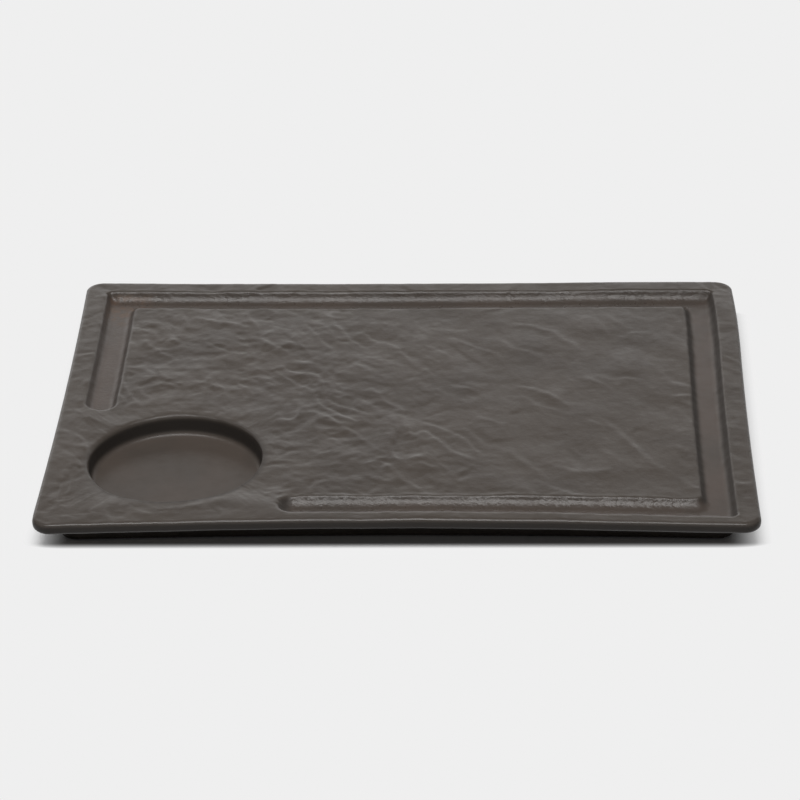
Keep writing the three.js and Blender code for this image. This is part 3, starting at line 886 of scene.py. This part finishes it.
class PlatterSurface:
    """The casting's skin: top with groove and relief, sauce well, edge, foot ring and underside."""

    def __init__(self, plan):
        self.plan = plan
        self.shell = Shell(FINISHES)

    def top_point(self, x, y, drop, inset, reach, thin=0.0):
        """Add points of the top from the straight layout: the arched top less the field's dip and the
        drop, which is shallower where the dip is deeper, with its share of relief. Edges are marked as
        worn, hollows as recessed and the groove as peeled, most of all along the long sides; shade is
        painted, with a rougher glaze, at the left end of the groove's front run and on the walls of its
        short runs, on top of any painted shade passed in."""
        plan = self.plan
        px, py = plan.place(x, y)
        warp_x, warp_y = plan.warp(px, py)
        dip = plan.dip(x, y)
        split = relief_share(plan, px, py, inset, reach)
        pz = plan.height - plan.sag(px) - dip - drop * (1.0 - dip / plan.groove_depth)
        pz = pz + split * slate_relief(plan, px, py)
        recess = smooth_step(reach, *POOL_STARTS)
        wear = rubbing(inset, *EDGE_RUB) + rubbing(reach, *LIP_RUB)
        peel = smooth_step(reach, *PEEL_STARTS) * groove_sheen(plan, x, y)
        # Painted shade, with a rougher glaze, at the left end of the groove's front run and on the walls of
        # its short runs
        off_left_run = y < plan.left_end - plan.groove
        end_shade = off_left_run * smooth_step(plan.front_end - x, *END_REACH)
        end_shade = end_shade * smooth_step(reach, *END_STARTS)
        on_wall = smooth_step(reach, *WALL_STARTS) * fade(reach, *WALL_ENDS)
        short_wall_shade = on_wall * (1.0 - long_run(plan, x, y)) * np.where(x > 0.0, 1.0, LEFT_RUN_SHADE)
        thin = thin + end_shade + short_wall_shade
        return self.shell.add(
            px + warp_x, py + warp_y, pz, recess=recess, wear=wear, split=split, peel=peel, thin=thin
        )

    def grid_lines(self):
        """Lines of the top's grid: close across the groove's walls, wider on the calmer right half."""
        plan = self.plan
        half_u = plan.half_length - plan.edge_top
        half_v = plan.half_depth - plan.edge_top

        def spacing(outer, left, right):
            middle = outer - plan.groove / 2
            near = plan.groove / 2 + GROOVE_MARGIN

            def wanted(at):
                plain = np.where(at < RIGHT_FROM, left, right)
                return np.where(np.abs(np.abs(at) - middle) < near, GROOVE_STEP, plain)

            return wanted

        u = graded_lines(-half_u, half_u, spacing(plan.outer_x, LEFT_STEP, RIGHT_STEP))
        v = graded_lines(-half_v, half_v, spacing(plan.outer_y, DEPTH_STEP, DEPTH_STEP))
        return u, v

    def build_top(self):
        """The field, groove and rim as one height field over a graded grid, with a gap round the
        sauce well, which is left to rings. Returns the outline and border for the edge to go on from."""
        plan = self.plan
        u, v = self.grid_lines()
        radius = plan.corner - plan.edge_top
        grid_u, grid_v = np.meshgrid(u, v, indexing="ij")
        x, y = turn_corners(grid_u, grid_v, u[-1], v[-1], radius)
        reach, slope, lip, hollow = groove_section(plan, x, y)
        drop = rounded_drop(reach, plan.groove_depth, lip, hollow, slope)
        grid = self.top_point(x, y, drop, plan.inset(x, y), reach)
        well_u, well_v = plan.straight(plan.well_x, plan.well_y)
        half = plan.well + WELL_MARGIN
        rows = slice(*np.searchsorted(u, (well_u - half, well_u + half)))
        columns = slice(*np.searchsorted(v, (well_v - half, well_v + half)))
        keep = np.ones((len(u) - 1, len(v) - 1), bool)
        keep[rows.start:rows.stop - 1, columns.start:columns.stop - 1] = False
        self.shell.fill(grid, keep)
        self.build_well(border_of(grid[rows, columns]))
        return Outline(plan, u, v, radius), border_of(grid)

    def build_well(self, border):
        """The sauce well: rings pass from the square gap in the top to an oval, over a rounded lip,
        down a leaning wall and round a fillet to the level floor. The relief and the warp fade out below
        the lip, and shade is painted, with a rougher glaze, on the wall and on the crisp side of the lip."""
        plan = self.plan
        points = np.concatenate(self.shell.blocks)[border, :2]
        points = points - plan.warp(*points.T).T
        around = np.arctan2(points[:, 1] - plan.well_y, points[:, 0] - plan.well_x)
        reach = plan.well + plan.well_lip * 2.0
        base = plan.well_top - plan.well_depth
        centre_y = plan.well_y + WELL_BACK
        wide = WELL_OVAL[0] * np.cos(around)
        deep = WELL_OVAL[1] * np.sin(around)
        oval = np.stack([plan.well_x + reach * wide, centre_y + reach * deep], axis=1)
        loop = border
        for t in np.linspace(0.0, 1.0, 5)[1:]:
            x, y = plan.straight(*blend(points, oval, t).T)
            inner = self.top_point(x, y, 0.0, plan.inset(x, y), groove_section(plan, x, y)[0])
            self.shell.strip(inner, loop)
            loop = inner
        crisp = self.well_path(reach, CRISP_LIP * plan.well_lip)
        soft = self.well_path(reach, SOFT_LIP * plan.well_lip)
        softness = 0.5 + 0.5 * np.cos(around - SOFT_SIDE)
        for ring in blend(crisp[:, None], soft[:, None], softness[:, None]):
            radius, height = ring.T
            depth = -height
            px = plan.well_x + radius * wide
            py = centre_y + radius * deep
            top = plan.height - plan.sag(px) - plan.dip(*plan.straight(px, py))
            split = WELL_RELIEF * fade(depth, *WELL_RELIEF_ENDS)
            pz = blend(base, top, 1.0 - depth / plan.well_depth) + split * slate_relief(plan, px, py)
            warp_x, warp_y = plan.warp(px, py) * fade(depth, *WELL_WARP_ENDS)
            recess = WELL_POOL * smooth_step(depth, WELL_WALL_ENDS[0], plan.well_depth)
            # Painted shade, with a rougher glaze, on the well's wall and on the crisp side of its lip
            wall = smooth_step(depth, *WELL_WALL_STARTS) * fade(depth, *WELL_WALL_ENDS)
            thin = np.maximum(wall, (1.0 - softness) * fade(depth, *WELL_LIP_ENDS))
            inner = self.shell.add(px + warp_x, py + warp_y, pz, recess=recess, split=split, thin=thin)
            self.shell.strip(inner, loop)
            loop = inner
        self.shell.close(loop, plan.well_x, centre_y, base, 1, recess=WELL_POOL)

    def well_path(self, reach, lip):
        """The well's section from the top inwards, as radius and height against the lip."""
        plan = self.plan
        corners = (
            (reach, 0.0),
            (plan.well, 0.0),
            (plan.well - plan.well_lean, -plan.well_depth),
            (WELL_FAN, -plan.well_depth),
        )
        path = rounded_path(corners, (lip, plan.well_fillet), 6)
        over_lip, fillet = np.split(path[1:-1], 2)
        wall = np.linspace(over_lip[-1], fillet[0], 6)[1:-1]
        floor = np.linspace(fillet[-1], path[-1], 10)[1:]
        return np.concatenate([over_lip, wall, fillet, floor])

    def build_edge(self, outline, loop):
        """The rim's edge: quarter rounds above and below a short upright face with painted shade and a
        rougher glaze.
        """
        plan = self.plan
        top = plan.edge_top
        bottom = plan.edge_bottom
        quarter = np.linspace(0.0, np.pi / 2, 5)
        upper = [(top * (1.0 - math.sin(a)), top * (1.0 - math.cos(a))) for a in quarter[1:]]
        lower = [(bottom * (1.0 - math.cos(a)), plan.edge - bottom * (1.0 - math.sin(a))) for a in quarter]
        for inset, drop in upper + lower:
            x, y = outline.at(inset)
            # Painted shade, with a rougher glaze, on the upper part of the upright face
            thin = EDGE_SHADE * smooth_step(drop / top, *EDGE_SHADE_STARTS)
            thin = thin * fade(drop, plan.edge / 3, plan.edge)
            off_groove = np.full_like(x, -plan.long_rim)
            ring = self.top_point(x, y, drop, np.full_like(x, min(inset, 1.0)), off_groove, thin)
            self.shell.strip(loop, ring)
            loop = ring
        return loop

    def under_point(self, x, y, z):
        """Add points of the underside from the straight layout: it follows the arch except at the foot
        ring, swells down under the sauce well with a soft seam, and leaves room for the rubber feet's
        seats. The foot ring's lowest part is bare clay."""
        plan = self.plan
        room = plan.disc_thickness + SEAT_ROOM
        px, py = plan.place(x, y)
        outward = fade(plan.inset(x, y), UNDER_WARP, plan.foot_inset - plan.foot_lean)
        warp_x, warp_y = plan.warp(px, py) * outward
        pz = z - plan.sag(px) * smooth_step(z, plan.land, plan.under_groove)
        bottom = plan.well_top - plan.well_depth - plan.well_floor
        swelling = bottom + SWELLING_RISE * plan.plate * smooth_step(plan.from_well(px, py), *SWELLING_RUN)
        share = np.clip(0.5 + (swelling - pz) / SWELLING_SEAM, 0.0, 1.0)
        pz = blend(swelling, pz, share) - SWELLING_SEAM / 2 * share * (1.0 - share)
        for seat_x, seat_y in plan.feet().values():
            beside = np.hypot(px - seat_x, py - seat_y) - plan.disc / 2
            pz = np.maximum(pz, blend(room, -1.0, smooth_step(beside, *SEAT_RUN)))
        bare = fade(pz - plan.land, *BARE_RUN)
        return self.shell.add(px + warp_x, py + warp_y, pz, bare=bare)

    def build_underside(self, outline, loop):
        """The rim's underside, the foot ring and the recessed middle, on a coarser outline whose lines
        lie closer under the well."""
        plan = self.plan
        ledge = plan.short_rim + plan.groove
        deepest = ledge + plan.slope
        half_u = plan.half_length - deepest
        half_v = plan.half_depth - deepest
        near = plan.well + UNDER_WELL_MARGIN
        u, v = (
            graded_lines(
                -half, half, lambda at: np.where(np.abs(at - middle) < near, UNDER_WELL_STEP, UNDER_STEP)
            )
            for half, middle in zip((half_u, half_v), plan.straight(plan.well_x, plan.well_y))
        )
        coarse = Outline(plan, u, v, plan.foot_corner)
        under_rim = plan.height - plan.edge
        under_field = plan.height - plan.field_drop - plan.plate
        inner = plan.foot_inset + plan.foot_width
        corners = (
            (plan.edge_bottom, under_rim),
            (plan.foot_inset - plan.foot_lean, plan.under_groove),
            (plan.foot_inset, plan.land),
            (inner, plan.land),
            (inner + plan.foot_lean, plan.under_groove),
            (ledge, plan.under_groove),
            (deepest, under_field),
        )
        path = rounded_path(corners, FOOT_ROUNDING, 4)
        slope = np.linspace(path[0], path[1], 4)[1:-1]
        rings = [
            self.under_point(*coarse.at(inset), np.full(len(coarse.core_u), z))
            for inset, z in np.concatenate([slope, path[1:-1]])
        ]
        self.shell.lace(loop, outline.along(plan.edge_bottom), rings[0], coarse.along(plan.edge_bottom))
        for upper, lower in zip(rings, rings[1:]):
            self.shell.strip(upper, lower)
        grid_u, grid_v = np.meshgrid(u, v, indexing="ij")
        x, y = turn_corners(grid_u, grid_v, half_u, half_v, plan.foot_corner)
        grid = self.under_point(x, y, np.full_like(x, under_field))
        self.shell.fill(grid, facing=-1)
        self.shell.strip(rings[-1], border_of(grid))

    def build_seats(self):
        """A thick round of porcelain in each corner of the foot ring, with a seat for a rubber foot."""
        plan = self.plan
        top = plan.under_groove + SEAT_ROOT
        outer = plan.foot_corner - SEAT_MARGIN
        seat = plan.disc / 2 + SEAT_PLAY
        corners = (
            (0.0, top),
            (outer, top),
            (outer, plan.land),
            (seat, plan.land),
            (seat, plan.disc_thickness),
            (0.0, plan.disc_thickness),
        )
        path = rounded_path(corners, SEAT_ROUNDING, 3)
        for x, y in plan.feet().values():
            self.shell.turn(path, x, y, 48, bare=SEAT_BARE)

    def build(self, name):
        """The whole skin as a mesh."""
        outline, border = self.build_top()
        edge = self.build_edge(outline, border)
        self.build_underside(outline, edge)
        self.build_seats()
        return self.shell.mesh(name)


def rubber_foot(plan, x, y, name):
    """A flat disc of rubber with a rounded lower edge, turned about its axis."""
    radius = plan.disc / 2
    corners = ((0.0, plan.disc_thickness), (radius, plan.disc_thickness), (radius, 0.0), (0.0, 0.0))
    shell = Shell()
    shell.turn(rounded_path(corners, (RUBBER_TOP_EDGE, plan.disc_edge), 4), x, y, 64)
    return shell.mesh(name)


def opaque(linear):
    """A colour property as a colour with full alpha."""
    return (*linear, 1.0)


class Nodes:
    """A new material's node tree with its shader, output and object coordinates."""

    def __init__(self, name):
        self.material = bpy.data.materials.new(name)
        self.material.use_nodes = True
        self.tree = self.material.node_tree
        self.tree.nodes.clear()
        self.shader = self.add("BsdfPrincipled")
        self.output = self.add("OutputMaterial", {"Surface": self.shader.outputs[0]})
        self.place = self.add("TexCoord").outputs["Object"]

    def add(self, kind, inputs=None, **settings):
        """Add a node with its settings and inputs."""
        node = self.tree.nodes.new("ShaderNode" + kind)
        for name, value in settings.items():
            setattr(node, name, value)
        self.give(node, inputs or {})
        return node

    def give(self, node, inputs):
        """Set a node's inputs; each is a plain value or another node's output."""
        for name, value in inputs.items():
            if isinstance(value, bpy.types.NodeSocket):
                self.tree.links.new(value, node.inputs[name])
            else:
                node.inputs[name].default_value = value

    def attribute(self, name):
        """The value that the mesh carries under a name."""
        return self.add("Attribute", attribute_name=name).outputs["Fac"]

    def noise(self, scale, detail, roughness):
        """A noise texture's value, with its scale in waves per metre."""
        inputs = {"Vector": self.place, "Scale": scale, "Detail": detail, "Roughness": roughness}
        return self.add("TexNoise", inputs).outputs["Fac"]

    def combine(self, operation, first, *others):
        """Values combined by an operation, one after the other."""
        for other in others:
            first = self.add("Math", {0: first, 1: other}, operation=operation).outputs[0]
        return first

    def vector(self, operation, first, second=(0.0, 0.0, 0.0)):
        """The result of an operation on vectors, which is a number for a length or a distance."""
        node = self.add("VectorMath", {0: first, 1: second}, operation=operation)
        return node.outputs["Value" if operation in ("LENGTH", "DISTANCE") else "Vector"]

    def mix(self, share, first, second):
        """A blend of two colours."""
        return self.add("Mix", {0: share, 6: first, 7: second}, data_type="RGBA").outputs[2]

    def carry(self, value, low, high, to_low, to_high):
        """A value carried smoothly from one range to another."""
        inputs = {"Value": value, "From Min": low, "From Max": high, "To Min": to_low, "To Max": to_high}
        return self.add("MapRange", inputs, interpolation_type="SMOOTHSTEP").outputs[0]

    def bump(self, height):
        """The normal of a surface with a height in metres on it."""
        return self.add("Bump", {"Height": height, "Distance": 1.0}).outputs[0]


def glaze_material(finish, relief):
    """Matte stoneware glaze: cloudy colour, warmer where it pools, an iron stain, rubbed edges, painted
    shade on upright faces and bare clay laid over each other, rougher where it is bare or shaded and
    smoother where it is sleek or polished, with a fine stone grain on top and an orange-peel skin in the
    groove."""
    nodes = Nodes("slate_glaze")
    recess, wear, bare, split, peel, thin = (nodes.attribute(name) for name in FINISHES)
    clouds = nodes.noise(*CLOUDS)
    mottle = nodes.noise(*MOTTLE)
    shade = nodes.carry(clouds, *CLOUD_SHADE)
    unsleek = nodes.carry(peel, *SLEEK_POOL)
    pooled = nodes.combine("MULTIPLY", recess, unsleek, nodes.carry(clouds, *CLOUD_POOL))
    from_stain = nodes.vector("DISTANCE", nodes.place, STAIN_PLACE)
    near = nodes.carry(from_stain, *STAIN_REACH, STAIN_SHARE, 0.0)
    stain = nodes.combine("MULTIPLY", near, recess, nodes.carry(mottle, *STAIN_SPECKS))
    rubbed = nodes.combine("MULTIPLY", wear, nodes.carry(mottle, *RUBBED_SPECKS))
    coats = (
        (pooled, finish.glaze_warm),
        (stain, finish.blush),
        (rubbed, finish.worn),
        # Painted shade: a darker glaze where the mark stands in for shade on upright faces
        (thin, finish.glaze_thin),
        (bare, finish.clay),
    )
    base = nodes.mix(shade, opaque(finish.glaze_dark), opaque(finish.glaze))
    for share, coat in coats:
        base = nodes.mix(share, base, opaque(coat))
    smoothest = finish.roughness + MOTTLE_SMOOTHER
    roughest = finish.roughness + MOTTLE_ROUGHER
    rough = nodes.carry(mottle, *MOTTLE_RANGE, smoothest, roughest)
    changes = ((bare, BARE_ROUGHER), (thin, THIN_ROUGHER), (peel, PEEL_SMOOTHER), (wear, WEAR_SMOOTHER))
    for mark, change in changes:
        rough = nodes.combine("ADD", rough, nodes.combine("MULTIPLY", mark, change))
    grain = nodes.combine("MULTIPLY", nodes.noise(*STONE_GRAIN), relief.grain, split)
    pimples = nodes.combine("MULTIPLY", nodes.noise(*PIMPLES), relief.peel, peel)
    normal = nodes.bump(nodes.combine("ADD", grain, pimples))
    inputs = {"Base Color": base, "Roughness": rough, "Specular IOR Level": finish.gloss, "Normal": normal}
    nodes.give(nodes.shader, inputs)
    return nodes.material


def rubber_material(finish):
    """Black rubber with a fine matte grain and a little dust."""
    nodes = Nodes("black_rubber")
    dust = nodes.carry(nodes.noise(*DUST), *DUST_SHARE)
    grey = tuple(0.06 + 0.5 * channel for channel in finish.rubber)
    base = nodes.mix(dust, opaque(finish.rubber), opaque(grey))
    grain = nodes.noise(*RUBBER_GRAIN)
    rough = nodes.carry(grain, *RUBBER_ROUGHNESS)
    normal = nodes.bump(nodes.combine("MULTIPLY", grain, RUBBER_GRAIN_HEIGHT * MM))
    nodes.give(nodes.shader, {"Base Color": base, "Roughness": rough, "Normal": normal})
    return nodes.material


def sweep_material(colour_of_floor):
    """Pale studio paper: near the object it is lit and takes the shadow, and further out it shows its
    own even colour to the eye and to reflections. To light that bounces it is dark, so that it hardly
    lights the object."""
    nodes = Nodes("studio_paper")
    past = nodes.vector("SUBTRACT", nodes.vector("ABSOLUTE", nodes.place), (*SHADOW_REACH, 9.0))
    faded = nodes.vector("DIVIDE", nodes.vector("MAXIMUM", past), (*SHADOW_FADE, 1.0))
    away = nodes.vector("LENGTH", faded)
    far = nodes.combine("MINIMUM", nodes.combine("MULTIPLY", away, away), 1.0)
    ray = nodes.add("LightPath").outputs
    kinds = ("Camera", "Glossy", "Transmission")
    seen = nodes.combine("MAXIMUM", *(ray[f"Is {kind} Ray"] for kind in kinds))
    paper = nodes.mix(seen, opaque(PAPER_BOUNCE), opaque(colour_of_floor))
    nodes.give(nodes.shader, {"Base Color": paper, "Roughness": 1.0, "Specular IOR Level": 0.0})
    glow = nodes.add("Emission", {"Color": opaque(colour_of_floor)})
    share = nodes.combine("MULTIPLY", far, seen)
    mixed = nodes.add("MixShader", {0: share, 1: nodes.shader.outputs[0], 2: glow.outputs[0]})
    nodes.give(nodes.output, {"Surface": mixed.outputs[0]})
    return nodes.material


def add_piece(mesh, material, slot, *nodes):
    """Put a mesh in the scene as a piece of the object that stands for CAD nodes."""
    mesh.materials.append(material)
    piece = bpy.data.objects.new(mesh.name, mesh)
    bpy.context.scene.collection.objects.link(piece)
    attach(piece, "root")
    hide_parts(*nodes)


def add_lamp(name, extent, brightness, place, lights=True):
    """An area lamp of a given brightness that faces the object and that the camera doesn't see; it may
    only show as a reflection and not light anything."""
    lamp = bpy.data.lights.new(name, "AREA")
    lamp.shape = "RECTANGLE"
    lamp.size, lamp.size_y = extent
    lamp.energy = brightness * math.pi * extent[0] * extent[1]
    holder = bpy.data.objects.new(name, lamp)
    holder.location = place
    holder.rotation_euler = Vector(place).to_track_quat("Z", "Y").to_euler()
    holder.visible_camera = False
    holder.visible_diffuse = lights
    bpy.context.scene.collection.objects.link(holder)


class PLATTER_OT_body(Operator):
    """Build the platter's casting."""

    bl_idname = "platter.body"
    bl_label = "Build platter"

    def execute(self, context):
        scene = context.scene
        mesh = PlatterSurface(Layout(scene)).build("platter")
        material = glaze_material(scene.platter_finish, scene.platter_relief)
        add_piece(mesh, material, "porcelain", "platter_body")
        return {"FINISHED"}


class PLATTER_OT_feet(Operator):
    """Build the four rubber feet."""

    bl_idname = "platter.feet"
    bl_label = "Build rubber feet"

    def execute(self, context):
        scene = context.scene
        plan = Layout(scene)
        material = rubber_material(scene.platter_finish)
        for corner, (x, y) in plan.feet().items():
            mesh = rubber_foot(plan, x, y, f"foot_{corner}")
            add_piece(mesh, material, "foot_rubber", f"rubber_foot_{corner}")
        return {"FINISHED"}


class PLATTER_OT_stage(Operator):
    """Set up the paper sweep, the lamps, the world and the camera."""

    bl_idname = "platter.stage"
    bl_label = "Set up stage"

    def execute(self, context):
        scene = context.scene
        stage = scene.platter_stage
        self.add_sweep(scene, stage)
        add_lamp("softbox", SOFTBOX_SIZE, stage.top_lamp, SOFTBOX_PLACE)
        add_lamp("rear_panel", PANEL_SIZE, stage.rear_lamp, PANEL_PLACE)
        add_lamp("front_card", CARD_SIZE, stage.front_card, CARD_PLACE, lights=False)
        self.set_world(scene, stage)
        self.add_camera(scene, stage)
        scene.view_settings.view_transform = "Standard"
        return {"FINISHED"}

    def add_sweep(self, scene, stage):
        """A wide sheet of paper that lies flat, bends up behind the object and stands."""
        bend = np.linspace(0.0, np.pi / 2, 13)
        upright = PAPER_REAR + PAPER_BEND
        y = np.concatenate([[PAPER_FRONT], PAPER_REAR + PAPER_BEND * np.sin(bend), [upright]])
        z = np.concatenate([[0.0], PAPER_BEND - PAPER_BEND * np.cos(bend), [PAPER_TOP]])
        x = np.array([-PAPER_SIDE, PAPER_SIDE])[:, None]
        shell = Shell()
        shell.fill(shell.add(x, y, z))
        mesh = shell.mesh("paper_sweep")
        mesh.materials.append(sweep_material(stage.floor))
        sweep = bpy.data.objects.new("paper_sweep", mesh)
        scene.collection.objects.link(sweep)

    def set_world(self, scene, stage):
        """A dim even surrounding."""
        world = bpy.data.worlds.new("studio")
        world.use_nodes = True
        background = world.node_tree.nodes["Background"]
        background.inputs["Color"].default_value = (1.0, 1.0, 1.0, 1.0)
        background.inputs["Strength"].default_value = stage.world
        scene.world = world

    def add_camera(self, scene, stage):
        """The camera looks at the middle of the top from its azimuth and elevation, rolled, and aims a
        little beside the middle."""
        level = Vector((math.cos(stage.azimuth), math.sin(stage.azimuth), 0.0))
        ahead = Vector((-math.sin(stage.azimuth), math.cos(stage.azimuth), 0.0))
        back = Vector((0.0, 0.0, math.sin(stage.elevation))) - ahead * math.cos(stage.elevation)
        upright = back.cross(level)
        right = level * math.cos(stage.roll) + upright * math.sin(stage.roll)
        up = upright * math.cos(stage.roll) - level * math.sin(stage.roll)
        middle = Vector((0.0, 0.0, scene.platter_sizes.height))
        place = middle + back * stage.distance + right * stage.aim_right + up * stage.aim_up
        camera = bpy.data.cameras.new("camera")
        camera.lens = stage.lens
        camera.sensor_width = 36.0
        holder = bpy.data.objects.new("camera", camera)
        holder.matrix_world = Matrix.Translation(place) @ Matrix((right, up, back)).transposed().to_4x4()
        scene.collection.objects.link(holder)
        scene.camera = holder


class PLATTER_PT_panel(Panel):
    """Sizes, finish and stage of the platter."""

    bl_idname = "PLATTER_PT_panel"
    bl_label = "Steak platter"
    bl_space_type = "VIEW_3D"
    bl_region_type = "UI"
    bl_category = "Platter"

    def draw(self, context):
        for name in GROUPS:
            box = self.layout.box()
            group = getattr(context.scene, name)
            for key in type(group).__annotations__:
                box.prop(group, key)
        for operator in OPERATORS:
            self.layout.operator(operator.bl_idname)


GROUPS = {
    "platter_sizes": PlatterSizes,
    "platter_relief": ReliefSizes,
    "platter_finish": PlatterFinish,
    "platter_stage": StageSettings,
}
OPERATORS = (PLATTER_OT_body, PLATTER_OT_feet, PLATTER_OT_stage)


def register():
    """Register the property groups, the operators and the panel."""
    for name, group in GROUPS.items():
        bpy.utils.register_class(group)
        setattr(bpy.types.Scene, name, PointerProperty(type=group))
    for operator in OPERATORS:
        bpy.utils.register_class(operator)
    bpy.utils.register_class(PLATTER_PT_panel)


def unregister():
    """Take back what register did, in reverse."""
    bpy.utils.unregister_class(PLATTER_PT_panel)
    for operator in reversed(OPERATORS):
        bpy.utils.unregister_class(operator)
    for name, group in reversed(GROUPS.items()):
        delattr(bpy.types.Scene, name)
        bpy.utils.unregister_class(group)


def main():
    """Build everything."""
    register()
    bpy.ops.platter.body()
    bpy.ops.platter.feet()
    bpy.ops.platter.stage()


if __name__ == "__main__":
    main()
